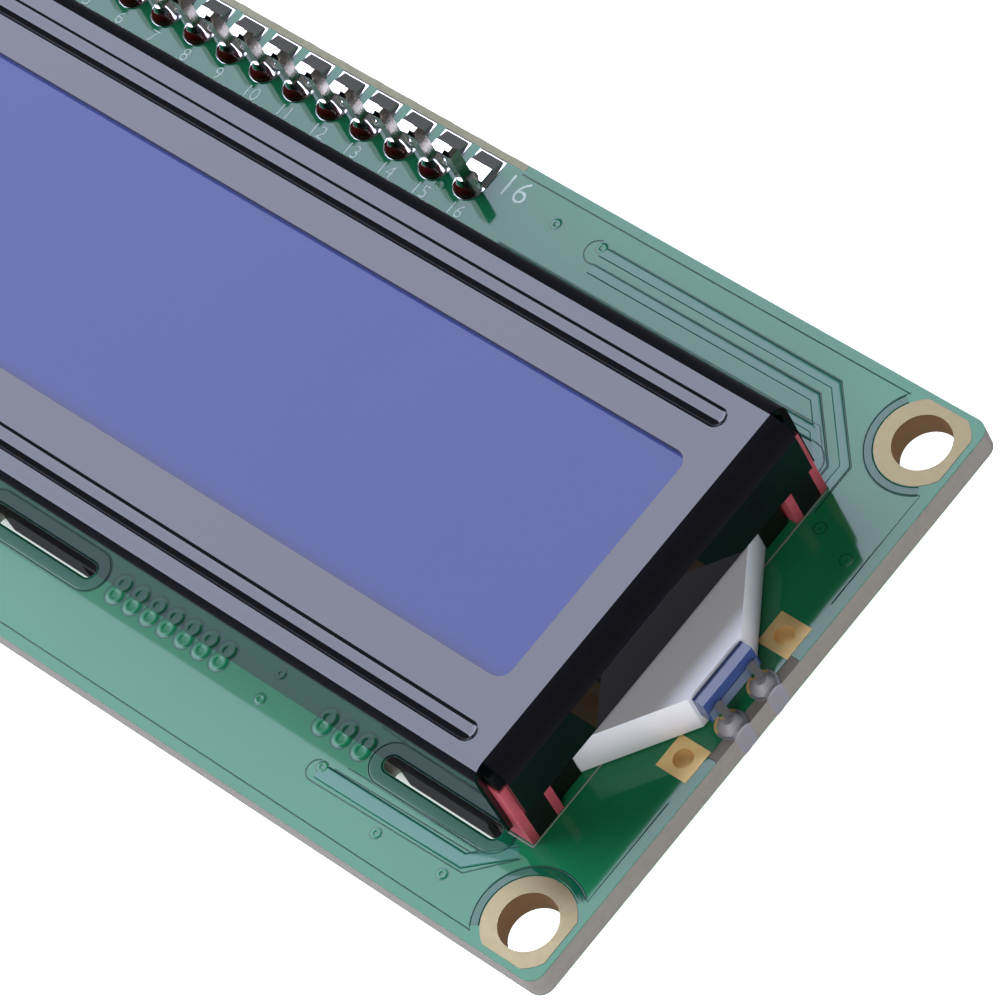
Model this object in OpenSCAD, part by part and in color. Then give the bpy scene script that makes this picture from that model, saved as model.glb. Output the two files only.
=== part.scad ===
// Two-line character display module: printed board, folded bezel over a glass
// cell, edge-lit backlight and a sixteen-pin header. All sizes in millimetres.
// Origin: middle of the board on its front face. +X along the board towards
// the backlight lamp, +Y towards the header, +Z out of the display.

/* [Board] */
// Length of the circuit board
board_length = 80; // [79:0.5:84]
// Width of the circuit board
board_width = 36; // [35:0.5:40]
// Thickness of the circuit board with its coatings
board_thickness = 1.6; // [1.2:0.2:2]
// Corner radius of the circuit board
board_corner = 0.8; // [0.4:0.2:2]
// Thickness of one coat of solder mask
mask_thickness = 0.05; // [0.03:0.01:0.1]

/* [Mounting holes] */
// Distance from each board edge to the centre of a mounting hole
hole_inset = 2.5; // [2.4:0.1:3]
// Finished bore of a mounting hole
hole_diameter = 3.2; // [2.6:0.1:3.4]
// Outside diameter of the plated ring round a mounting hole
ring_diameter = 5; // [4.4:0.1:5.6]
// Wall thickness of the plating inside every hole
plating = 0.1; // [0.05:0.05:0.15]
// Bare strip left between the ring and the board edge
ring_setback = 0.35; // [0.2:0.05:0.5]

/* [Bezel] */
// Distance from the board end to the end wall of the bezel
bezel_inset = 4.6; // [4:0.1:5]
// Width of the bezel over its long walls
bezel_width = 24.1; // [23.8:0.1:24.6]
// Height of the bezel face above the board
bezel_height = 7; // [6.8:0.1:8]
// Thickness of the bezel sheet
sheet = 0.4; // [0.3:0.05:0.5]
// Outside radius of the folds of the long walls
bend_radius = 0.9; // [0.7:0.1:1.2]
// Outside radius of the folds of the end walls
end_bend_radius = 1.25; // [1:0.05:1.4]
// Shift of the display centre from the board centre, towards the plain edge
display_shift = 0.55; // [0:0.05:1]
// Height of the lower edge of the end walls above the board
end_wall_gap = 3; // [2.6:0.1:3.6]
// Height of the relief cut under the ends of the long walls
end_relief = 1.3; // [0.8:0.1:2]

/* [Window and grooves] */
// Width of the bezel face between an end wall and the window
frame_end = 3.3; // [3:0.1:5]
// Width of the bezel face between a long wall and the window
frame_side = 4.8; // [4.4:0.1:5.5]
// Corner radius of the window
window_corner = 0.8; // [0.4:0.1:1.5]
// Distance from a long wall to the middle of the pressed groove beside it
groove_inset = 2.1; // [1.9:0.05:2.5]
// Shift of the two grooves from the display centre, towards the plain edge
groove_shift = 0.28; // [0:0.02:0.4]
// Distance from an end wall to the end of a groove
groove_end = 3; // [2.4:0.1:5]
// Extra length at each end of the groove on the plain side
groove_extra = 0.5; // [0:0.1:1]
// Width of a groove
groove_width = 1.2; // [0.9:0.1:1.4]

/* [Bezel tabs] */
// Distance from an end wall to the middle of the nearest tab
tab_inset = 6.3; // [6:0.1:9]
// Width of a tab
tab_width = 6; // [4:0.2:7]
// Length of a tab slot in the board
slot_length = 8; // [7.4:0.2:8.4]
// Width of a tab slot in the board
slot_width = 0.9; // [0.8:0.05:1.3]
// Length of the part of a tab folded against the back
tab_fold = 2.4; // [1.2:0.2:3]
// Clear space between the foot of a long wall and the tabs beside it
tab_relief = 0.2; // [0.1:0.05:0.4]

/* [Display cell] */
// Thickness of each glass plate
glass_thickness = 1.1; // [0.7:0.1:1.2]
// Thickness of each polarizer
polarizer_thickness = 0.3; // [0.2:0.05:0.35]
// Margin of the polarizers round the window
polarizer_margin = 1.2; // [0.8:0.1:1.4]

/* [Contact strips] */
// Thickness of a contact strip
strip_thickness = 2.4; // [2:0.1:2.6]
// Thickness of the soft skin on each side of a contact strip
strip_skin = 0.5; // [0.3:0.05:0.6]
// Number of contact fingers under each strip
finger_count = 48; // [40:1:56]
// Length of the bare board under a contact strip left without fingers at each end
finger_margin = 1; // [0.6:0.1:2]

/* [Backlight] */
// Thickness of the tongue of the light guide
tongue_thickness = 2.8; // [2.4:0.1:2.9]
// Distance from the board end to the tip of the tongue
tongue_setback = 1.8; // [1.6:0.1:2.2]
// Width of the tongue at its tip
tongue_tip = 4.2; // [3.8:0.1:4.4]
// Width of the tongue where it leaves the bezel
tongue_root = 14.6; // [12:0.2:16]
// Thickness of the diffuser film
film_thickness = 0.2; // [0.1:0.05:0.3]
// Width of the lamp body
lamp_width = 3.8; // [3.4:0.1:4]
// Depth of the lamp body along the board
lamp_depth = 0.75; // [0.6:0.05:0.8]
// Height of the lamp body
lamp_height = 1.6; // [1.2:0.1:1.8]
// Distance between the lamp leads
lead_pitch = 2.54; // [2.4:0.02:2.6]
// Side of a lamp lead
lead_size = 0.45; // [0.35:0.05:0.5]
// Distance from the back of the lamp to its leads
lead_setback = 0.3; // [0.25:0.05:0.3]
// Height of the lamp above the board
lamp_floor = 0.9; // [0.8:0.1:1.1]
// Finished bore of a lamp hole
lead_bore = 0.9; // [0.8:0.05:0.95]
// Outside diameter of a lamp pad
lead_pad = 1.7; // [1.5:0.05:1.8]
// Width of the plated strip from a lamp pad round the board edge
lead_strip = 1.1; // [1:0.05:1.3]
// Side of a square test pad beside the tongue
square_pad = 2; // [1.8:0.05:2]
// Finished bore of a square pad
square_bore = 1.1; // [0.9:0.05:1.2]
// Distance from the board edge to the centres of the square pads
square_setback = 1.6; // [1.5:0.05:1.7]
// Distance from the lamp to the centre of each square pad
square_reach = 3.98; // [3.9:0.05:4.2]

/* [Header] */
// Number of header pins
pin_count = 16; // [14:1:16]
// Distance between header pins
pin_pitch = 2.54; // [2.5:0.02:2.6]
// Side of a square header pin
pin_size = 0.64; // [0.56:0.02:0.66]
// Distance from the left board edge to the first pin
first_pin = 8; // [7:0.1:9]
// Distance from the board edge to the pin row
pin_row = 2.5; // [2.4:0.1:2.6]
// Height of the pins above the front face
pin_front = 3.4; // [2:0.1:4.4]
// Length of the pins below the spacer
pin_tail = 3; // [2:0.5:6]
// Height of the header spacer on the back
spacer_height = 2.5; // [2:0.1:2.6]
// Width of one header pad
pad_width = 1.9; // [1.6:0.05:2]
// Bare strip between the header pads and the board edge
pad_setback = 0.5; // [0.4:0.05:0.7]
// Finished bore of a header hole
pin_bore = 1; // [0.95:0.05:1.1]

/* [Back] */
// Diameter of the resin domes over the driver chips
dome_diameter = 15; // [12:0.5:16]
// Height of the resin domes
dome_height = 1.6; // [1.2:0.1:2]
// Distance from the middle to each dome
dome_offset = 14.5; // [12:0.5:18]
// Number of chip resistors
resistor_count = 8; // [4:1:8]
// Length of a chip resistor
resistor_length = 2; // [1.6:0.1:2]
// Width of a chip resistor
resistor_width = 1.25; // [0.8:0.05:1.3]
// Height of a chip resistor
resistor_height = 0.5; // [0.35:0.05:0.6]
// Length of the plated cap at each end of a chip resistor
resistor_cap = 0.35; // [0.2:0.05:0.4]
// Distance between neighbouring chip resistors
resistor_pitch = 3; // [2.4:0.1:3]
// Distance from the last header pin to the first chip resistor
resistor_start = 5.4; // [3:0.1:7]

/* [Hidden] */

round_fn = 64;
// clearance of the folded sheet, of the stacked plates and of the moulded guide
fit = 0.05;
plate_gap = 0.1;
guide_gap = 0.5;
// height of plated copper above the coat
skin = 0.02;
solder_height = 0.55;
pin_solder_height = 0.9;
ridge_height = 0.3;
pin_point = 0.3;
core_top = -mask_thickness;
core_bottom = -board_thickness + mask_thickness;
back = -board_thickness;

half_length = board_length / 2 - bezel_inset;
half_width = bezel_width / 2;
long_wall_half = half_length - end_bend_radius;
end_wall_half = half_width - bend_radius;
slot_inner = half_width - sheet - fit;
slot_middle = slot_inner + slot_width / 2;
cavity_x = half_length - sheet - plate_gap;
cavity_y = half_width - sheet - fit;

face_under = bezel_height - sheet;
glass_top = face_under - polarizer_thickness;
seal_thickness = 0.04;
seal_width = 0.8;
rear_top = glass_top - glass_thickness - seal_thickness;
rear_bottom = rear_top - glass_thickness;
film_top = rear_bottom - polarizer_thickness;
tongue_lift = 0.1;
guide_end = cavity_x - guide_gap;
guide_top = film_top - film_thickness;
strip_top = glass_top - glass_thickness;
ledge = cavity_y - strip_thickness - plate_gap;
strip_y = cavity_y - strip_thickness / 2;

window_length = 2 * (half_length - frame_end);
window_width = 2 * (half_width - frame_side);
// the grooves bear on the front glass, so they are as deep as its polarizer is thick
groove_depth = polarizer_thickness;
groove_length = 2 * (half_length - groove_end);
groove_y = half_width - groove_inset;
groove_radius = (groove_width * groove_width / 4 + groove_depth * groove_depth) / (2 * groove_depth);
heel_radius = groove_radius + sheet;
heel_width = 2 * sqrt(heel_radius * heel_radius - pow(heel_radius - groove_depth, 2));
heel_length = groove_length + heel_width - groove_width;
tab_offset = half_length - tab_inset;
tongue_reach = board_length / 2 - tongue_setback;

polarizer_x = window_length / 2 + polarizer_margin;
polarizer_y = window_width / 2 + polarizer_margin;

last_pin_x = -board_length / 2 + first_pin + (pin_count - 1) * pin_pitch;
pin_y = board_width / 2 - pin_row;
pad_inner = pad_width / 2;
pad_outer = pin_row - pad_setback;

lead_x = tongue_reach + lamp_depth + lead_setback;
lead_z = lamp_floor + lamp_height / 2;
edge_run = board_length / 2 - lead_x;
solder_r = lead_pad / 2 - 0.15;
solder_tip = lead_size / 2 + 0.12;
bare_edge = 0.6;
bare_run = 2 * square_reach - square_pad + 0.6;

// ---- helpers ----

module at_display() translate([0, -display_shift, 0]) children();

module rounded(l, w, r) {
    square([l - 2 * r, w], center = true);
    square([l, w - 2 * r], center = true);
    for (i = [-1, 1], j = [-1, 1])
        translate([i * (l / 2 - r), j * (w / 2 - r)]) circle(r = r, $fn = round_fn);
}

module capsule(l, w) {
    square([l - w, w], center = true);
    for (i = [-1, 1]) translate([i * (l - w) / 2, 0]) circle(d = w, $fn = round_fn);
}

module layer(z0, z1) translate([0, 0, z0]) linear_extrude(z1 - z0) children();

module at_holes() for (i = [-1, 1], j = [-1, 1])
    translate([i * (board_length / 2 - hole_inset), j * (board_width / 2 - hole_inset)]) children();

module at_pins() for (k = [0 : pin_count - 1])
    translate([last_pin_x - k * pin_pitch, pin_y]) children();

module at_leads() for (j = [-1, 1])
    translate([lead_x, -display_shift + j * lead_pitch / 2]) children();

module at_squares() for (j = [-1, 1])
    translate([board_length / 2 - square_setback, -display_shift + j * square_reach]) children();

module at_slots() at_display() for (i = [-1 : 1], j = [-1, 1])
    translate([i * tab_offset, j * slot_middle]) children();

// outline of one ring, cut flat where it comes near the board edges
module ring_outline() intersection() {
    at_holes() circle(d = ring_diameter, $fn = round_fn);
    square([board_length - 2 * ring_setback, board_width - 2 * ring_setback], center = true);
}

module header_outline(reach = pad_outer) at_pins() {
    circle(d = pad_width, $fn = round_fn);
    translate([-pad_inner, 0]) square([pad_width, reach]);
}

// round pad of a lamp lead with a strip running to the board edge
module lead_outline() intersection() {
    at_leads() {
        circle(d = lead_pad, $fn = round_fn);
        translate([0, -lead_strip / 2]) square([edge_run, lead_strip]);
    }
    square([board_length, board_width], center = true);
}

// shallow edge notches that the lamp pads wrap into
module edge_notches() at_leads() translate([edge_run - plating, -lead_strip / 2])
    square([1, lead_strip]);

module square_outline() at_squares() square(square_pad, center = true);

module drilled(extra) {
    at_holes() circle(d = hole_diameter + extra, $fn = round_fn);
    at_pins() circle(d = pin_bore + extra, $fn = round_fn);
    at_leads() circle(d = lead_bore + extra, $fn = round_fn);
    at_squares() circle(d = square_bore + extra, $fn = round_fn);
    at_slots() capsule(slot_length, slot_width);
}

module board_outline() difference() {
    rounded(board_length, board_width, board_corner);
    drilled(2 * plating);
    edge_notches();
}

module finger_windows() at_display() for (j = [-1, 1])
    translate([0, j * strip_y])
        square([2 * cavity_x - finger_margin, strip_thickness - 2 * plate_gap], center = true);

// section of a fold of radius r, outer corner at the origin, wall going down
module fold_section(depth, r) {
    translate([-r, -r]) intersection() {
        difference() {
            circle(r = r, $fn = round_fn);
            circle(r = r - sheet, $fn = round_fn);
        }
        square(r);
    }
    translate([-sheet, -depth]) square([sheet, depth - r]);
}

// flat-based circular segment, base on the x axis
module segment(w, h) {
    r = (w * w / 4 + h * h) / (2 * h);
    intersection() {
        translate([0, h - r]) circle(r = r, $fn = 8 * round_fn);
        translate([-w, 0]) square([2 * w, h]);
    }
}

module bead(l, w, h) {
    rotate([90, 0, 90]) linear_extrude(l - w, center = true) segment(w, h);
    for (i = [-1, 1]) translate([i * (l - w) / 2, 0, 0])
        rotate_extrude($fn = round_fn) intersection() {
            segment(w, h);
            square([w, h]);
        }
}

module plated() {
    layer(core_top, skin) children();
    layer(back - skin, core_bottom) children();
}

// ---- board ----

module board_core() color("#8a8672") layer(core_bottom, core_top) board_outline();

module mask_front() color("#1d7a4c") layer(core_top, 0) difference() {
    board_outline();
    ring_outline();
    header_outline(pin_row + 1);
    lead_outline();
    square_outline();
    finger_windows();
    translate([board_length / 2 - bare_edge, -display_shift - bare_run / 2])
        square([1, bare_run]);
}

module mask_back() color("#1d7a4c") layer(back, core_bottom) difference() {
    board_outline();
    ring_outline();
    header_outline(pin_row + 1);
    lead_outline();
    square_outline();
}

module mounting_rings() color("#d9b45a") difference() {
    union() {
        plated() ring_outline();
        layer(core_bottom, core_top) at_holes() circle(d = hole_diameter + 2 * plating, $fn = round_fn);
    }
    layer(back - 1, 1) at_holes() circle(d = hole_diameter, $fn = round_fn);
}

module header_pads() color("#c9ccd0") difference() {
    union() {
        plated() header_outline();
        layer(core_bottom, core_top) at_pins() circle(d = pin_bore + 2 * plating, $fn = round_fn);
    }
    layer(back - 1, 1) at_pins() circle(d = pin_bore, $fn = round_fn);
}

module lamp_pads() color("#d9b45a") difference() {
    union() {
        plated() lead_outline();
        layer(core_bottom, core_top) {
            at_leads() circle(d = lead_bore + 2 * plating, $fn = round_fn);
            intersection() {
                edge_notches();
                square([board_length, board_width], center = true);
            }
        }
    }
    layer(back - 1, 1) at_leads() circle(d = lead_bore, $fn = round_fn);
}

module square_pads() color("#d9b45a") difference() {
    union() {
        plated() square_outline();
        layer(core_bottom, core_top) at_squares() circle(d = square_bore + 2 * plating, $fn = round_fn);
    }
    layer(back - 1, 1) at_squares() circle(d = square_bore, $fn = round_fn);
}

module contact_fingers() color("#d9b45a") {
    run = 2 * (cavity_x - finger_margin);
    step = run / finger_count;
    at_display() for (j = [-1, 1], k = [0 : finger_count - 1])
        translate([-run / 2 + (k + 0.5) * step, j * strip_y, core_top + mask_thickness / 2])
            cube([step / 2, strip_thickness - strip_skin, mask_thickness], center = true);
}

// ---- bezel: one sheet, four folds, pierced window, two pressed grooves, six tabs ----

module long_wall() difference() {
    rotate([90, 0, 90]) linear_extrude(2 * long_wall_half, center = true)
        translate([half_width, bezel_height]) fold_section(bezel_height, bend_radius);
    // raised foot outside each end tab
    for (i = [0, 1]) mirror([i, 0, 0])
        translate([tab_offset + tab_width / 2 + tab_relief, half_width - 2 * sheet, -1])
            cube([long_wall_half, 3 * sheet, end_relief + 1]);
}

module tab() rotate([90, 0, 90]) linear_extrude(tab_width, center = true) {
    translate([half_width - sheet, back + fit]) square([sheet, board_thickness - fit + 0.5]);
    translate([slot_inner, back + fit]) intersection() {
        difference() {
            circle(r = fit + sheet, $fn = round_fn);
            circle(r = fit, $fn = round_fn);
        }
        translate([0, -sheet - fit]) square(fit + sheet);
    }
    translate([slot_inner - tab_fold, back - sheet]) square([tab_fold, sheet]);
}

module groove_beads(z, length, width) for (j = [-1, 1])
    translate([0, j * groove_y - groove_shift, z]) mirror([0, 0, 1])
        bead(length + (j < 0 ? 2 * groove_extra : 0), width, groove_depth);

module bezel() color("#15161a") at_display() {
    difference() {
        union() {
            layer(face_under, bezel_height) difference() {
                square(2 * [long_wall_half, end_wall_half], center = true);
                rounded(window_length, window_width, window_corner);
            }
            groove_beads(face_under, heel_length, heel_width);
        }
        groove_beads(bezel_height, groove_length, groove_width);
    }
    for (j = [0, 1]) mirror([0, j, 0]) {
        long_wall();
        for (i = [-1 : 1]) translate([i * tab_offset, 0, 0]) tab();
    }
    for (i = [0, 1]) mirror([i, 0, 0]) rotate([90, 0, 0])
        linear_extrude(2 * end_wall_half, center = true)
            translate([half_length, bezel_height]) fold_section(bezel_height - end_wall_gap, end_bend_radius);
}

// ---- display cell ----

module front_polarizer() color("#3c46a0") at_display()
    layer(glass_top, face_under) square(2 * [polarizer_x, polarizer_y], center = true);

module front_glass() color("#c8d6dc") at_display()
    layer(glass_top - glass_thickness, glass_top) square(2 * [cavity_x - plate_gap, cavity_y - plate_gap], center = true);

module cell_seal() color("#e6e2d2") at_display() layer(rear_top, rear_top + seal_thickness) difference() {
    square(2 * [cavity_x - guide_gap, ledge - guide_gap], center = true);
    square(2 * [cavity_x - guide_gap - seal_width, ledge - guide_gap - seal_width], center = true);
}

module rear_glass() color("#c8d6dc") at_display()
    layer(rear_bottom, rear_top) square(2 * [cavity_x, ledge], center = true);

module rear_polarizer() color("#3c46a0") at_display()
    layer(film_top, rear_bottom) square(2 * [polarizer_x, polarizer_y], center = true);

// ---- contact strips: dark core between two soft skins ----

module strip_cores() color("#17171a") at_display() for (j = [-1, 1])
    translate([0, j * strip_y, 0]) layer(0, strip_top)
        square([2 * cavity_x, strip_thickness - 2 * strip_skin], center = true);

module strip_skins() color("#c8536a") at_display() for (j = [-1, 1], k = [-1, 1])
    translate([0, j * strip_y + k * (strip_thickness - strip_skin) / 2, 0])
        layer(0, strip_top) square([2 * cavity_x, strip_skin], center = true);

// ---- backlight ----

module diffuser_film() color("#eef0f2") at_display()
    layer(guide_top, film_top) square(2 * [guide_end, ledge - plate_gap], center = true);

module light_guide() color("#dfe1e8") at_display() {
    layer(0, guide_top) square(2 * [guide_end, ledge - plate_gap], center = true);
    layer(tongue_lift, tongue_thickness) polygon([
        [guide_end - guide_gap, -tongue_root / 2], [guide_end, -tongue_root / 2],
        [tongue_reach, -tongue_tip / 2], [tongue_reach, tongue_tip / 2],
        [guide_end, tongue_root / 2], [guide_end - guide_gap, tongue_root / 2]]);
}

module lamp_body() color("#26335f") at_display()
    translate([tongue_reach, -lamp_width / 2, lamp_floor]) cube([lamp_depth, lamp_width, lamp_height]);

module lamp_leads() color("#c2c4c8") at_leads() {
    w = lead_size;
    tail = back - 0.9;
    // leg out of the lamp, then down through the board with a round elbow
    rotate([90, 0, 0]) linear_extrude(w, center = true) {
        translate([-lead_setback, lead_z - w / 2]) square([lead_setback - w / 2, w]);
        translate([-w / 2, lead_z - w / 2]) intersection() {
            circle(r = w, $fn = round_fn);
            square(w);
        }
        translate([-w / 2, tail]) square([w, lead_z - w / 2 - tail]);
    }
}

module lamp_solder() color("#9fa1a6") difference() {
    at_leads() {
        translate([0, 0, skin]) {
            cylinder(h = solder_height, r1 = solder_r, r2 = solder_tip, $fn = round_fn);
            // low run of solder out to the board edge
            rotate([90, 0, 90]) linear_extrude(edge_run) segment(lead_strip - 0.1, 0.2);
        }
        translate([0, 0, back - skin - solder_height]) cylinder(h = solder_height, r1 = solder_tip, r2 = solder_r, $fn = round_fn);
    }
    at_leads() cube([lead_size, lead_size, 4 * board_thickness], center = true);
}

// ---- header ----

module header_spacer() color("#1b1c1e") difference() {
    translate([last_pin_x - (pin_count - 0.5) * pin_pitch, pin_y - pin_pitch / 2, back - skin - spacer_height])
        cube([pin_count * pin_pitch, pin_pitch, spacer_height]);
    for (k = [0 : pin_count - 2], j = [-1, 1])
        translate([last_pin_x - (k + 0.5) * pin_pitch, pin_y + j * pin_pitch / 2, back - skin - spacer_height / 2])
            rotate(45) cube([0.6, 0.6, spacer_height + 1], center = true);
    at_pins() translate([0, 0, back - spacer_height / 2]) cube([pin_size, pin_size, spacer_height + 1], center = true);
}

// side view of a pin: square shank with both ends drawn to a blunt point
module pin_side(low) {
    w = pin_size / 2;
    polygon([[-w / 2, low], [w / 2, low], [w, low + pin_point], [w, pin_front - pin_point],
             [w / 2, pin_front], [-w / 2, pin_front], [-w, pin_front - pin_point], [-w, low + pin_point]]);
}

module header_pins() color("#b9bbbd") at_pins() intersection() {
    low = back - skin - spacer_height - pin_tail;
    rotate([90, 0, 0]) linear_extrude(pin_size, center = true) pin_side(low);
    rotate([90, 0, 90]) linear_extrude(pin_size, center = true) pin_side(low);
}

// cone round the pin and a low ridge of solder out along the pad
module header_solder() color("#a3a5a8") difference() {
    at_pins() translate([0, 0, skin]) {
        cylinder(h = pin_solder_height, r1 = pad_inner - 0.15, r2 = pin_size / 2 + 0.08, $fn = round_fn);
        translate([0, pad_outer / 2 - fit, 0]) rotate(90) bead(pad_outer, pad_width - 0.4, ridge_height);
    }
    at_pins() cube([pin_size, pin_size, 2 * pin_front], center = true);
}

// ---- back ----

module resin_domes() color("#101113") for (i = [-1, 1])
    translate([i * dome_offset, -display_shift, back]) mirror([0, 0, 1])
        rotate_extrude($fn = 2 * round_fn) intersection() {
            segment(dome_diameter, dome_height);
            square([dome_diameter, dome_height]);
        }

module at_resistors() for (k = [0 : resistor_count - 1])
    translate([last_pin_x + resistor_start + resistor_pitch * k, pin_y - 0.6, back - resistor_height]) children();

module resistor_bodies() color("#2a2a2c") at_resistors()
    translate([-resistor_width / 2, -resistor_length / 2 + resistor_cap, 0])
        cube([resistor_width, resistor_length - 2 * resistor_cap, resistor_height]);

module resistor_caps() color("#c2c4c8") at_resistors() for (j = [-1, 1])
    translate([-resistor_width / 2, j * (resistor_length - resistor_cap) / 2 - resistor_cap / 2, 0])
        cube([resistor_width, resistor_cap, resistor_height]);

board_core();
mask_front();
mask_back();
mounting_rings();
header_pads();
lamp_pads();
square_pads();
contact_fingers();
bezel();
front_polarizer();
front_glass();
cell_seal();
rear_glass();
rear_polarizer();
diffuser_film();
light_guide();
strip_cores();
strip_skins();
lamp_body();
lamp_leads();
lamp_solder();
header_spacer();
header_pins();
header_solder();
resin_domes();
resistor_bodies();
resistor_caps();
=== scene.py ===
import math

import bpy
from mathutils import Matrix, Vector


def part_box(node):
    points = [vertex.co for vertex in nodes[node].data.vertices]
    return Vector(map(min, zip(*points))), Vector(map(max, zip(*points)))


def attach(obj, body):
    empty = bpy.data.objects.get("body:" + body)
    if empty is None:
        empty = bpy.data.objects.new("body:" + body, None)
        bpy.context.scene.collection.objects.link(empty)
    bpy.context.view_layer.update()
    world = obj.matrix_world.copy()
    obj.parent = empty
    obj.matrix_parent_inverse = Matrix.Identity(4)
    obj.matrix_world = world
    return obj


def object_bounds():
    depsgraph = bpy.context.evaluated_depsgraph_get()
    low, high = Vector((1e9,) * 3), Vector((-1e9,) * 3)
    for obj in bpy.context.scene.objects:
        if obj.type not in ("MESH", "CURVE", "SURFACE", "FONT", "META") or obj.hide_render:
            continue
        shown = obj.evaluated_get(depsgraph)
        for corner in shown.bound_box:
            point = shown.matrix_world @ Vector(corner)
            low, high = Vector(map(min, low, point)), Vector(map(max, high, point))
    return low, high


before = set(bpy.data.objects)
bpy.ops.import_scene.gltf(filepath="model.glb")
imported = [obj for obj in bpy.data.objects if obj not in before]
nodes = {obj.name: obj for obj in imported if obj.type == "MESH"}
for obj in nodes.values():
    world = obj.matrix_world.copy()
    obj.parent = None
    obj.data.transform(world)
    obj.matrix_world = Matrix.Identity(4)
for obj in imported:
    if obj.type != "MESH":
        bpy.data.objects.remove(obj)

cad_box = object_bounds()
MM = 0.001


# Board laminate: woven glass in resin, sawn to size. Its cut sides are pale grey and a
# little fibrous, and a narrow bare strip shows along the header edge.
def dress(name, material):
    mesh = nodes[name].data
    mesh.materials.clear()
    mesh.materials.append(material)


def finish(name, color, roughness, metallic=0.0, ior=1.5, grain=0.0, grain_size=0.4, relief=0.0,
           relief_size=0.3, tint=None, tint_size=1.5):
    """A surface whose gloss, height and colour wander a little, sizes in mm, relief in microns."""
    material = bpy.data.materials.new(name)
    material.use_nodes = True
    tree = material.node_tree
    shader = tree.nodes["Principled BSDF"]
    shader.inputs["Base Color"].default_value = (*color, 1)
    shader.inputs["Roughness"].default_value = roughness
    shader.inputs["Metallic"].default_value = metallic
    shader.inputs["IOR"].default_value = ior
    place = tree.nodes.new("ShaderNodeTexCoord")

    def wander(size, detail):
        noise = tree.nodes.new("ShaderNodeTexNoise")
        noise.inputs["Scale"].default_value = 1 / (size * MM)
        noise.inputs["Detail"].default_value = detail
        tree.links.new(place.outputs["Object"], noise.inputs["Vector"])
        return noise.outputs["Fac"]

    if grain:
        spread = tree.nodes.new("ShaderNodeMapRange")
        spread.inputs["To Min"].default_value = max(roughness - grain, 0.02)
        spread.inputs["To Max"].default_value = min(roughness + grain, 1)
        tree.links.new(wander(grain_size, 3), spread.inputs["Value"])
        tree.links.new(spread.outputs["Result"], shader.inputs["Roughness"])
    if relief:
        bump = tree.nodes.new("ShaderNodeBump")
        bump.inputs["Distance"].default_value = relief * MM * MM
        tree.links.new(wander(relief_size, 4), bump.inputs["Height"])
        tree.links.new(bump.outputs["Normal"], shader.inputs["Normal"])
    if tint:
        blend = tree.nodes.new("ShaderNodeMix")
        blend.data_type = "RGBA"
        blend.inputs["A"].default_value = (*color, 1)
        blend.inputs["B"].default_value = (*tint, 1)
        tree.links.new(wander(tint_size, 4), blend.inputs["Factor"])
        tree.links.new(blend.outputs["Result"], shader.inputs["Base Color"])
    return material


def shade_by(material, axis, start, end, color):
    """Blend the base colour into another along one axis, between two places in mm."""
    tree = material.node_tree
    base = tree.nodes["Principled BSDF"].inputs["Base Color"]
    place = tree.nodes.new("ShaderNodeTexCoord")
    split = tree.nodes.new("ShaderNodeSeparateXYZ")
    ramp = tree.nodes.new("ShaderNodeMapRange")
    ramp.inputs["From Min"].default_value = start * MM
    ramp.inputs["From Max"].default_value = end * MM
    blend = tree.nodes.new("ShaderNodeMix")
    blend.data_type = "RGBA"
    blend.inputs["A"].default_value = base.default_value
    if base.links:
        tree.links.new(base.links[0].from_socket, blend.inputs["A"])
    blend.inputs["B"].default_value = (*color, 1)
    tree.links.new(place.outputs["Object"], split.inputs["Vector"])
    tree.links.new(split.outputs[axis], ramp.inputs["Value"])
    tree.links.new(ramp.outputs["Result"], blend.inputs["Factor"])
    tree.links.new(blend.outputs["Result"], base)


def settle(piece, name, material):
    """Name a new piece, leave its place in its mesh, and let it ride on the board."""
    bpy.ops.object.select_all(action="DESELECT")
    piece.select_set(True)
    bpy.context.view_layer.objects.active = piece
    bpy.ops.object.transform_apply(location=True, rotation=True, scale=True)
    piece.name = name
    piece.data.materials.clear()
    piece.data.materials.append(material)
    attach(piece, "root")
    return piece


def block(low, high, edge):
    """A bevelled block between two corners in mm, active and selected."""
    bpy.ops.object.select_all(action="DESELECT")
    size = [(b - a) * MM for a, b in zip(low, high)]
    middle = [(a + b) / 2 * MM for a, b in zip(low, high)]
    bpy.ops.mesh.primitive_cube_add(size=1, location=middle)
    piece = bpy.context.object
    piece.scale = size
    bpy.ops.object.transform_apply(location=True, rotation=True, scale=True)
    soften = piece.modifiers.new("soften", "BEVEL")
    soften.width = edge * MM
    soften.segments = 3
    bpy.ops.object.modifier_apply(modifier=soften.name)
    return piece


laminate = finish("laminate", (0.30, 0.27, 0.23), 0.6, grain=0.15, relief=12, relief_size=0.12,
                  tint=(0.21, 0.20, 0.18), tint_size=0.5)
bare_laminate = finish("bare_laminate", (0.36, 0.33, 0.17), 0.5, grain=0.15, relief=8, relief_size=0.15,
                       tint=(0.28, 0.27, 0.15), tint_size=0.4)
dress("board_core", laminate)
board_low, board_high = [[v / MM for v in corner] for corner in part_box("board_core")]
coat_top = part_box("mask_front")[1][2] / MM

strip = block((board_low[0] + 0.6, board_high[1] - 0.42, coat_top - 0.04),
              (8.3, board_high[1] - 0.02, coat_top + 0.012), 0.01)
settle(strip, "bare_strip", bare_laminate)


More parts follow.
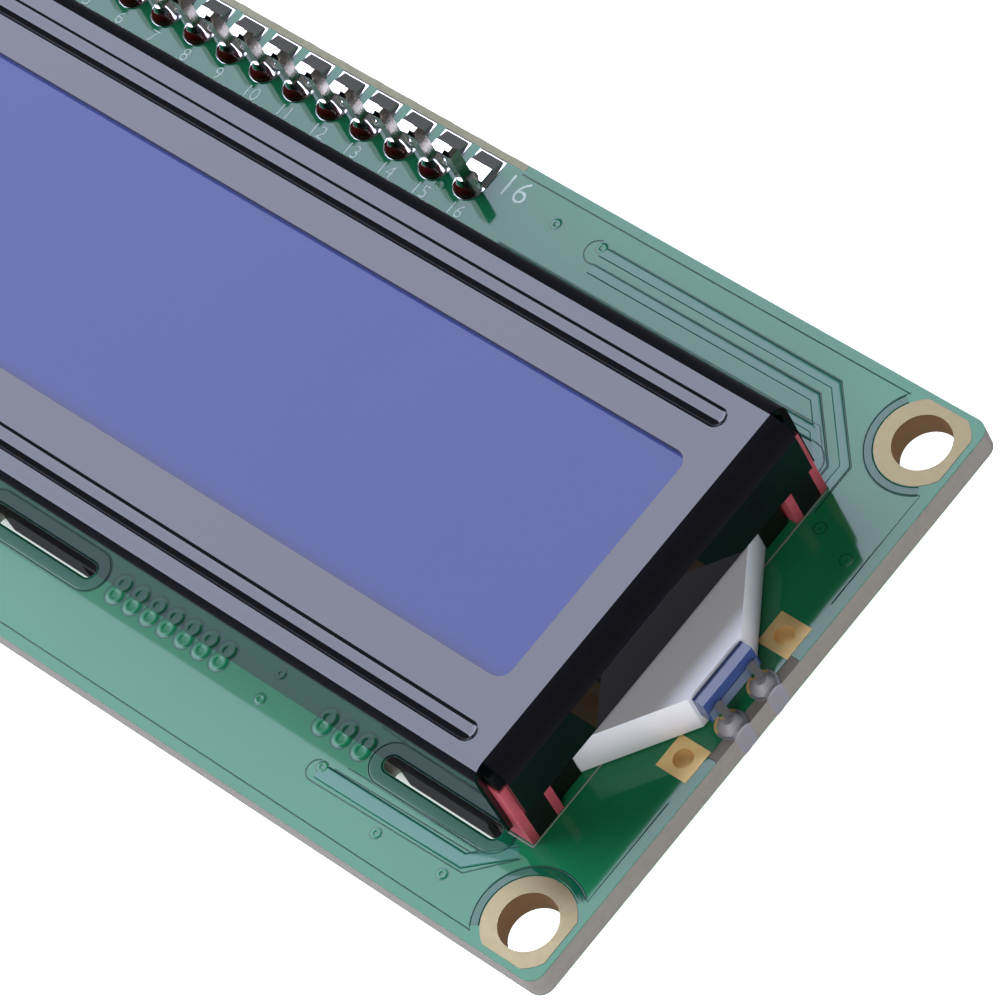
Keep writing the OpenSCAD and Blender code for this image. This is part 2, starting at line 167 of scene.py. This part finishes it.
# Solder mask: a thin glossy green coat on both faces, open over the bare metal. It rises a
# few hundredths over the copper under it, and is darker where the copper is etched away.
def route(name, points, width, height, material, closed=False):
    """A low rounded ridge along a line on the front face, all in mm."""
    bpy.ops.object.select_all(action="DESELECT")
    bpy.ops.curve.primitive_bezier_curve_add()
    line = bpy.context.object
    line.data.splines.clear()
    path = line.data.splines.new("POLY")
    path.points.add(len(points) - 1)
    for knot, (x, y) in zip(path.points, points):
        knot.co = (x * MM, y * MM, 0, 1)
    path.use_cyclic_u = closed
    line.data.bevel_depth = width * MM / 2
    line.data.bevel_resolution = 2
    line.data.use_fill_caps = not closed
    bpy.ops.object.convert(target="MESH")
    line.scale.z = 2 * height / width
    line.location.z = coat_top * MM
    return settle(line, name, material)


def arc(center, radius, start, end, steps=24):
    """Points along an arc, angles in degrees."""
    turns = [math.radians(start + (end - start) * k / steps) for k in range(steps + 1)]
    return [(center[0] + radius * math.cos(t), center[1] + radius * math.sin(t)) for t in turns]


def around(center, length, width):
    """Points round a slot: two straight sides and two half circles."""
    reach = (length - width) / 2
    right = arc((center[0] + reach, center[1]), width / 2, -90, 90, 12)
    left = arc((center[0] - reach, center[1]), width / 2, 90, 270, 12)
    return right + left


green_coat = finish("green_coat", (0.012, 0.21, 0.08), 0.07, ior=1.4, grain=0.02, grain_size=3, relief=2.5,
                    relief_size=2.2, tint=(0.012, 0.18, 0.072), tint_size=6)
coat_on_track = finish("coat_on_track", (0.03, 0.19, 0.12), 0.08, ior=1.4, grain=0.02, relief=1.5,
                       relief_size=1)
coat_on_bare = finish("coat_on_bare", (0.004, 0.10, 0.045), 0.08, ior=1.4, grain=0.02, relief=1.5,
                      relief_size=1)
# Painted shade: near-black green lines laid beside the tracks and round the pour and slot edges, standing
# for the dark that the coat's edge slopes mirror.
edge_shade_line = finish("edge_shade_line", (0.001, 0.06, 0.035), 0.3, grain=0.05)
dress("mask_front", green_coat)
dress("mask_back", green_coat)

hole_inset = 2.5
edge_width = 0.09
edge_rise = 0.012
track_width = 0.62
track_rise = 0.008
line_width = 0.08
line_rise = 0.012
corner_x = board_high[0] - hole_inset
corner_y = board_high[1] - hole_inset
pour_y = board_high[1] - 0.6
pour_x = board_high[0] - 0.65
pour_r = 3.05

# Painted shade lines along the pour's edge round the rings and the board's sides.
route("pour_edge_top", [(8.3, pour_y), (corner_x - 2.35, pour_y)]
      + arc((corner_x, corner_y), pour_r, 140, 307) + [(pour_x, 6)], edge_width, edge_rise, edge_shade_line)
route("pour_edge_low", [(pour_x, -6.8)] + arc((corner_x, -corner_y), pour_r, 53, 220)
      + [(corner_x - 2.35, -pour_y), (board_low[0] + 5, -pour_y)], edge_width, edge_rise, edge_shade_line)
route("pour_edge_left", [(board_low[0] + 4.8, pour_y)] + arc((-corner_x, corner_y), pour_r, 40, -127)
      + [(-pour_x, 0)] + arc((-corner_x, -corner_y), pour_r, 127, -40), edge_width, edge_rise, edge_shade_line)
for name, x, y in (("ring_gap_1", corner_x, corner_y), ("ring_gap_2", corner_x, -corner_y),
                   ("ring_gap_3", -corner_x, corner_y), ("ring_gap_4", -corner_x, -corner_y)):
    inward = math.degrees(math.atan2(-math.copysign(1, y), -math.copysign(1, x)))
    span = arc((x, y), 2.78, inward - 80, inward + 80)
    route(name, span, 0.5, 0.004, coat_on_bare)

route("track_upper", [(15.3, 15.9), (31.45, 15.9), (34.9, 12.45), (34.9, 9.4)], track_width, track_rise,
      coat_on_track)
route("track_middle", [(15.4, 14.8), (30.95, 14.8), (33.85, 11.9), (33.85, 10.4)], track_width, track_rise,
      coat_on_track)
route("track_wall", [(9.9, 13.3), (32.1, 13.3), (33.5, 11.9), (33.5, 11.3)], 0.5, track_rise, coat_on_track)
# Painted shade lines beside the tracks and round their ends.
route("line_upper", [(15.7, 16.22), (31.55, 16.22), (35.22, 12.55), (35.22, 9.6)], line_width,
      line_rise, edge_shade_line)
route("line_middle", arc((15.07, 15.72), 0.72, 100, 300, 16)
      + [(31.05, 15.12), (34.15, 12.02), (34.15, 10.6)], line_width, line_rise, edge_shade_line)
route("line_wall", [(9.9, 13.6), (32.25, 13.6), (33.85, 12.0), (33.85, 11.3)], line_width,
      line_rise, edge_shade_line)
route("track_low", [(22.4, -14.85), (32.35, -14.72), (34.5, -12.8)], 0.9, track_rise, coat_on_track)
route("line_low_upper", [(23.1, -14.36), (32.55, -14.15), (34.35, -12.6)], line_width, line_rise, edge_shade_line)
route("line_low_under", arc((22.35, -14.9), 0.62, 110, 270, 16)
      + [(32.75, -15.25), (34.85, -13.1)], line_width, line_rise, edge_shade_line)
route("line_low_inner", [(23.7, -13.95), (32.3, -13.72), (32.6, -13.9)], line_width, line_rise, edge_shade_line)


# Tab slots: routed through the board. The copper is kept back from them, so the coat round
# each is darker in a rounded band.
display_y = (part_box("bezel")[0][1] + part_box("bezel")[1][1]) / 2 / MM
slot_y = 12.05
tab_x = 29.1
for k, x in enumerate((-tab_x, 0, tab_x)):
    for side in (-1, 1):
        tag = "%s%d" % ("n" if side < 0 else "f", k + 1)
        route("slot_gap_" + tag, around((x, display_y + side * slot_y), 8.85, 1.75), 0.8, 0.005,
              coat_on_bare, closed=True)
        # a painted shade line round each darker band
        route("slot_line_" + tag, around((x, display_y + side * slot_y), 9.65, 2.55), 0.08, 0.02,
              edge_shade_line, closed=True)


# Vias: tiny plated holes under the coat. The large ones stand as soft rings, the small ones
# are pinholes; each has a shallow dimple painted near black for the shade down the hole.
def via(name, x, y, outer, pit):
    bpy.ops.object.select_all(action="DESELECT")
    bpy.ops.mesh.primitive_circle_add(vertices=28, radius=1.25 * outer * MM, fill_type="NGON",
                                      location=(x * MM, y * MM, (coat_top + 0.002) * MM))
    piece = bpy.context.object
    bpy.ops.object.transform_apply(location=True)
    bpy.ops.object.mode_set(mode="EDIT")
    bpy.ops.mesh.select_all(action="SELECT")
    bpy.ops.mesh.inset(thickness=0.25 * outer * MM, depth=0)
    for step, rise in ((0.16, 0.03), (0.2, 0.02), (0.16, -0.02), (0.14, -0.02)):
        bpy.ops.mesh.inset(thickness=step * outer * MM, depth=rise * outer * MM)
    bpy.ops.mesh.inset(thickness=max(0.34 * outer - pit, 0.02) * MM, depth=0)
    bpy.ops.mesh.extrude_region_move(TRANSFORM_OT_translate={"value": (0, 0, -0.05 * MM)})
    bpy.ops.object.mode_set(mode="OBJECT")
    settle(piece, name, green_coat)
    piece.data.materials.append(via_pit_shade)
    piece.data.materials.append(coat_on_bare)
    for face in piece.data.polygons:
        radius = math.hypot(face.center.x - x * MM, face.center.y - y * MM)
        face.material_index = 1 if radius < 1.2 * pit * MM else 2 if radius > outer * MM else 0
    bpy.ops.object.shade_smooth_by_angle(angle=math.radians(50))


# Painted shade: the dimple's near-black colour stands for the depth of the hole.
via_pit_shade = finish("via_pit_shade", (0.002, 0.03, 0.018), 0.3, grain=0.05)
big_row = [(5.84 + 1.275 * k, display_y - 12.4) for k in range(7)]
big_row += [(20.86 + 1.36 * k, display_y - 12.3) for k in range(3)]
for k, (x, y) in enumerate(big_row):
    via("via_large_%02d" % (k + 1), x, y, 0.52, 0.1)
small_vias = ((16.92, -13.42), (31.9, -15.83), (27.41, -15.92), (36.06, 9.06), (38.4, 8.32),
              (11.96, 15.97), (15.16, 16.05), (22.44, -14.6), (4.7, 14.7))
for k, (x, y) in enumerate(small_vias):
    via("via_small_%02d" % (k + 1), x, y, 0.3, 0.1)


# Printed numbers: thin white screen ink, one plain number beside each header pin and a large
# one past the last pin.
def number(text, x, y, size):
    bpy.ops.object.select_all(action="DESELECT")
    bpy.ops.object.text_add(location=(x * MM, y * MM, coat_top * MM))
    mark = bpy.context.object
    mark.data.body = text
    mark.data.size = size * MM
    mark.data.align_x = "CENTER"
    mark.data.extrude = 0.012 * MM
    mark.data.resolution_u = 4
    mark.data.offset = -0.012 * size * MM
    bpy.ops.object.convert(target="MESH")
    bpy.ops.object.transform_apply(location=True, rotation=True, scale=True)
    return mark


ink = finish("ink", (0.80, 0.92, 0.84), 0.4, ior=1.35, grain=0.1, tint=(0.5, 0.72, 0.6), tint_size=0.5)
pin_pitch = 2.54
last_pin = (6.1, 15.5)
for k in range(16):
    mark = number(str(16 - k), last_pin[0] + 0.35 - k * pin_pitch, 13.55, 1.15)
    settle(mark, "number_%02d" % (16 - k), ink)
settle(number("16", 8.55, 15.85, 2.0), "number_large", ink)
settle(number("1", -34.3, 15.85, 2.0), "number_first", ink)


# Plated copper: gold over the mounting rings, square pads, lamp pads and contact fingers,
# bright tin over the header pads.
gold = finish("gold", (1.0, 0.62, 0.30), 0.4, metallic=1, grain=0.06, relief=2.5, relief_size=0.2)
# Painted shade: the rings' level top face is given a far darker gold than their barrels, to offset the
# bright soft box it mirrors; the plating itself is one colour.
shade_by(gold, "Z", -0.03, 0, (0.23, 0.19, 0.105))
pad_gold = finish("pad_gold", (0.86, 0.58, 0.22), 0.42, metallic=0.55, grain=0.08, relief=6, relief_size=0.3,
                  tint=(0.9, 0.66, 0.3), tint_size=0.5)
lamp_gold = finish("lamp_gold", (0.86, 0.58, 0.22), 0.42, metallic=0.3, grain=0.08, relief=6,
                   relief_size=0.3)
shade_by(lamp_gold, "X", 38.95, 39.05, (0.34, 0.33, 0.37))
tin = finish("tin", (0.72, 0.72, 0.73), 0.18, metallic=1, grain=0.06, relief=4, relief_size=0.25)
dress("mounting_rings", gold)
dress("lamp_pads", lamp_gold)
for name in ("square_pads", "contact_fingers"):
    dress(name, pad_gold)
for name in ("header_pads", "resistor_caps"):
    dress(name, tin)


# Bezel: one steel sheet, pierced, pressed and folded, with a smooth black lacquer.
lacquer = finish("lacquer", (0.004, 0.004, 0.006), 0.05, ior=1.5, grain=0.015, relief=0.5, relief_size=2.5)
dress("bezel", lacquer)


# Display cell: two glass plates between polarizing films. Switched off, it is a deep blue
# with no characters. The glass is coloured near black, a painted shade for the dark of the
# housing round its edges.
polarizer = finish("polarizer", (0.004, 0.02, 0.185), 0.06, ior=1.36, grain=0.015, relief=0.3, relief_size=3,
                   tint=(0.006, 0.026, 0.17), tint_size=9)
glass_painted_shade = finish("glass_painted_shade", (0.006, 0.008, 0.009), 0.6, ior=1.2, grain=0.02)
seal = finish("seal", (0.03, 0.03, 0.03), 0.6, grain=0.1)
film = finish("film", (0.85, 0.86, 0.88), 0.5, grain=0.1)
for name in ("front_polarizer", "rear_polarizer"):
    dress(name, polarizer)
for name in ("front_glass", "rear_glass"):
    dress(name, glass_painted_shade)
dress("cell_seal", seal)
dress("diffuser_film", film)


# Light guide: milky acrylic with polished sides. A thin black sheet stands just in front of
# its square end at the lamp, on both sides of the tongue and above it.
acrylic = finish("acrylic", (0.86, 0.86, 0.90), 0.22, ior=1.49, grain=0.04, grain_size=0.8, relief=3,
                 relief_size=1.2, tint=(0.82, 0.83, 0.88), tint_size=3)
black_end_sheet = finish("black_end_sheet", (0.003, 0.003, 0.003), 0.5, grain=0.1)
dress("light_guide", acrylic)
guide_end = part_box("diffuser_film")[1][0] / MM
guide_half = (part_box("diffuser_film")[1][1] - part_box("diffuser_film")[0][1]) / 2 / MM
tongue_half = 7.3
tongue_top = 2.82
end_sheet_foot = 0.02
end_sheet_near = guide_end + 0.01
end_sheet_far = guide_end + 0.06
guide_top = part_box("light_guide")[1][2] / MM
for side, name in ((-1, "end_sheet_near"), (1, "end_sheet_far")):
    ends = sorted((display_y + side * tongue_half, display_y + side * guide_half))
    end_sheet = block((end_sheet_near, ends[0], end_sheet_foot), (end_sheet_far, ends[1], guide_top), 0.01)
    settle(end_sheet, name, black_end_sheet)
end_sheet = block((end_sheet_near, display_y - tongue_half, tongue_top),
             (end_sheet_far, display_y + tongue_half, guide_top), 0.01)
settle(end_sheet, "end_sheet_over", black_end_sheet)


# Contact strips: a dark conducting core between two soft pink skins, squeezed between the
# glass and the board; their cut ends show in the open corners.
core_rubber = finish("core_rubber", (0.004, 0.004, 0.005), 0.5, grain=0.1, relief=8, relief_size=0.2)
skin_rubber = finish("skin_rubber", (0.50, 0.055, 0.10), 0.5, grain=0.1, relief=10, relief_size=0.25,
                     tint=(0.62, 0.13, 0.15), tint_size=0.9)
dress("strip_cores", core_rubber)
dress("strip_skins", skin_rubber)
strip_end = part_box("strip_cores")[1][0] / MM
pale_line = finish("pale_line", (0.25, 0.28, 0.25), 0.4, grain=0.08)
# A thin pale line laid on the board at the strips' ends, with a short turn along the near strip.
route("strip_pale_line", [(33.3, display_y - 11.72), (strip_end + 0.08, display_y - 11.72),
                      (strip_end + 0.08, display_y + 11.5)], 0.11, 0.03, pale_line)


# Backlight lamp: a cast dark blue body at the tip of the tongue on two bent leads, soldered
# into their holes. The plated strips beyond the holes wrap the board's edge.
lamp_resin = finish("lamp_resin", (0.03, 0.06, 0.19), 0.18, grain=0.05, relief=3, relief_size=0.3)
lamp_face_highlight = finish("lamp_face_highlight", (0.11, 0.15, 0.22), 0.35, grain=0.05)
lead_tin = finish("lead_tin", (0.78, 0.77, 0.76), 0.14, metallic=1, grain=0.06, relief=18, relief_size=0.35)
solder = finish("solder", (0.44, 0.43, 0.47), 0.5, metallic=0.3, grain=0.1, relief=12, relief_size=0.3)
bright_solder = finish("bright_solder", (0.86, 0.85, 0.84), 0.12, metallic=1, grain=0.05, relief=8,
                       relief_size=0.35)
dress("lamp_body", lamp_resin)
dress("lamp_leads", lead_tin)
dress("lamp_solder", solder)
lamp_low, lamp_high = [[v / MM for v in corner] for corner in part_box("lamp_body")]
# Painted highlight: a lighter copy of the resin along the lower front face of the body, for the light that
# face catches.
face = block((lamp_high[0] - 0.04, lamp_low[1] + 0.1, lamp_low[2] + 0.05),
             (lamp_high[0] + 0.05, lamp_high[1] - 0.1, lamp_low[2] + 0.8), 0.02)
settle(face, "lamp_face_highlight_strip", lamp_face_highlight)


# Header: square pins in a moulded strip under the board. Each is soldered to a long pad, with
# bright solder drawn out along the pad and a dark red bead on the inner side, part flux and
# part painted reflection of the dark that the solder mirrors there.
pin_brown = finish("pin_brown", (0.42, 0.38, 0.32), 0.2, metallic=1, grain=0.08, relief=6, relief_size=0.3)
flux_and_dark_reflection = finish("flux_and_dark_reflection", (0.10, 0.006, 0.008), 0.08, grain=0.03, relief=4, relief_size=0.3,
              tint=(0.05, 0.012, 0.006), tint_size=0.5)
dress("header_pins", pin_brown)
dress("header_solder", bright_solder)


def copies(piece, name, material):
    """The same piece at the other fifteen pins, each with its own mesh."""
    for k in range(1, 16):
        twin = piece.copy()
        twin.data = piece.data.copy()
        bpy.context.scene.collection.objects.link(twin)
        twin.data.transform(Matrix.Translation((-k * pin_pitch * MM, 0, 0)))
        settle(twin, name % (16 - k), material)


px, py = last_pin
ramp = block((px - 0.78, py + 0.3, 0.03), (px + 0.78, py + 1.95, 0.36), 0.05)
bpy.ops.object.mode_set(mode="EDIT")
bpy.ops.mesh.select_all(action="SELECT")
bpy.ops.mesh.bisect(plane_co=(0, (py + 1.2) * MM, 0), plane_no=(0, 1, 0))
bpy.ops.mesh.select_all(action="DESELECT")
bpy.ops.object.mode_set(mode="OBJECT")
for vertex in ramp.data.vertices:
    vertex.select = vertex.co.y > (py + 1.5) * MM and vertex.co.z > 0.2 * MM
bpy.ops.object.mode_set(mode="EDIT")
bpy.ops.transform.translate(value=(0, 0, -0.24 * MM))
bpy.ops.object.mode_set(mode="OBJECT")
settle(ramp, "solder_ramp_16", bright_solder)
copies(ramp, "solder_ramp_%02d", bright_solder)

bpy.ops.object.select_all(action="DESELECT")
bpy.ops.mesh.primitive_uv_sphere_add(segments=28, ring_count=14, radius=1 * MM,
                                     location=(px * MM, (py - 0.32) * MM, 0.02 * MM))
bead = bpy.context.object
bead.scale = (0.72, 0.6, 0.62)
bpy.ops.object.transform_apply(location=True, rotation=True, scale=True)
bpy.ops.object.mode_set(mode="EDIT")
bpy.ops.mesh.select_all(action="SELECT")
bpy.ops.mesh.bisect(plane_co=(0, 0, 0.015 * MM), plane_no=(0, 0, 1), clear_inner=True, use_fill=True)
bpy.ops.object.mode_set(mode="OBJECT")
bpy.ops.object.shade_smooth_by_angle(angle=math.radians(40))
# Part real flux, part painted reflection: the bead's near-black red stands for dark mirrored in the solder.
settle(bead, "flux_16", flux_and_dark_reflection)
copies(bead, "flux_%02d", flux_and_dark_reflection)


# Back of the board: the header's plastic strip, two resin domes over the driver chips and a
# row of chip resistors.
black_plastic = finish("black_plastic", (0.012, 0.012, 0.013), 0.4, grain=0.1, relief=6, relief_size=0.2)
epoxy = finish("epoxy", (0.008, 0.008, 0.009), 0.22, grain=0.06, relief=6, relief_size=1.2)
glaze = finish("glaze", (0.01, 0.01, 0.012), 0.3, grain=0.08)
dress("header_spacer", black_plastic)
dress("resin_domes", epoxy)
dress("resistor_bodies", glaze)


# Stage: a white floor under the pins, a large window-like soft box that the level faces mirror
# and a weak fill. The floor is left out of mirror reflections, as the dim room is what shows there.
# Its colour and glow carry a painted shadow, fading to black in a soft rectangle under the board.
floor_z = cad_box[0][2]
bpy.ops.object.select_all(action="DESELECT")
bpy.ops.mesh.primitive_plane_add(size=6, location=(0, 0, floor_z))
floor = bpy.context.object
floor.name = "floor"
floor.visible_glossy = False
pale = bpy.data.materials.new("pale_floor")
pale.use_nodes = True
pale_shader = pale.node_tree.nodes["Principled BSDF"]
pale_shader.inputs["Base Color"].default_value = (0.9, 0.9, 0.9, 1)
pale_shader.inputs["Roughness"].default_value = 0.9
pale_shader.inputs["Emission Color"].default_value = (1, 1, 1, 1)
pale_shader.inputs["Emission Strength"].default_value = 0.9
nodes_of = pale.node_tree.nodes
spot = nodes_of.new("ShaderNodeTexCoord")
split = nodes_of.new("ShaderNodeSeparateXYZ")
pale.node_tree.links.new(spot.outputs["Object"], split.inputs["Vector"])
# Painted shadow: black inside a soft-edged rectangle under the board, white outside it.
reach = []
for axis, inner, outer in (("X", 29, 31), ("Y", 10.5, 12)):
    size = nodes_of.new("ShaderNodeMath")
    size.operation = "ABSOLUTE"
    fade = nodes_of.new("ShaderNodeMapRange")
    fade.inputs["From Min"].default_value = inner * MM
    fade.inputs["From Max"].default_value = outer * MM
    pale.node_tree.links.new(split.outputs[axis], size.inputs[0])
    pale.node_tree.links.new(size.outputs[0], fade.inputs["Value"])
    reach.append(fade.outputs["Result"])
lit = nodes_of.new("ShaderNodeMath")
lit.operation = "MAXIMUM"
pale.node_tree.links.new(reach[0], lit.inputs[0])
pale.node_tree.links.new(reach[1], lit.inputs[1])
tone = nodes_of.new("ShaderNodeMix")
tone.data_type = "RGBA"
tone.inputs["A"].default_value = (0, 0, 0, 1)
tone.inputs["B"].default_value = (1, 1, 1, 1)
pale.node_tree.links.new(lit.outputs[0], tone.inputs["Factor"])
for socket in ("Base Color", "Emission Color"):
    pale.node_tree.links.new(tone.outputs["Result"], pale_shader.inputs[socket])
floor.data.materials.append(pale)

world = bpy.data.worlds.new("room")
bpy.context.scene.world = world
world.use_nodes = True
world.node_tree.nodes["Background"].inputs["Color"].default_value = (0.9, 0.93, 1, 1)
world.node_tree.nodes["Background"].inputs["Strength"].default_value = 0.12
bpy.context.scene.view_settings.view_transform = "Standard"

middle = Vector((0.016, 0, 0.004))


def soft_box(name, facing, across, offset, distance, width, height, radiance, color):
    """A rectangular light that faces back along facing, moved sideways by offset in its own plane."""
    facing = Vector(facing).normalized()
    across = Vector(across)
    across = (across - across.dot(facing) * facing).normalized()
    along = facing.cross(across)
    light = bpy.data.lights.new(name, "AREA")
    light.shape = "RECTANGLE"
    light.size = width
    light.size_y = height
    light.energy = radiance * math.pi * width * height
    light.color = color
    lamp = bpy.data.objects.new(name, light)
    bpy.context.scene.collection.objects.link(lamp)
    place = middle + distance * (facing + offset[0] * across + offset[1] * along)
    turn = Matrix((across, along, facing)).transposed().to_4x4()
    lamp.matrix_world = Matrix.Translation(place) @ turn
    return lamp


soft_box("key", facing=(-0.667, -0.229, 0.71), across=(0, 0.951, 0.308), offset=(0, 0.21), distance=1.0,
         width=1.34, height=0.88, radiance=7.3, color=(0.726, 0.767, 1.0))
soft_box("fill", facing=(0.45, -0.70, 0.55), across=(0, 0.6, 0.8), offset=(0, 0), distance=1.2,
         width=0.7, height=0.7, radiance=3.4, color=(1.0, 0.97, 0.93))

camera_data = bpy.data.cameras.new("camera")
camera_data.sensor_width = 36
camera_data.lens = 242.9
camera_data.clip_start = 0.01
camera = bpy.data.objects.new("camera", camera_data)
bpy.context.scene.collection.objects.link(camera)
right = Vector((0.71221361, 0.62572438, -0.31815214))
up = Vector((-0.43053543, 0.74735497, 0.50606302))
back = Vector((0.55442855, -0.2234492, 0.8016729))
turn = Matrix((right, up, back)).transposed().to_4x4()
camera.matrix_world = Matrix.Translation((0.20798, -0.07379, 0.27133)) @ turn
bpy.context.scene.camera = camera
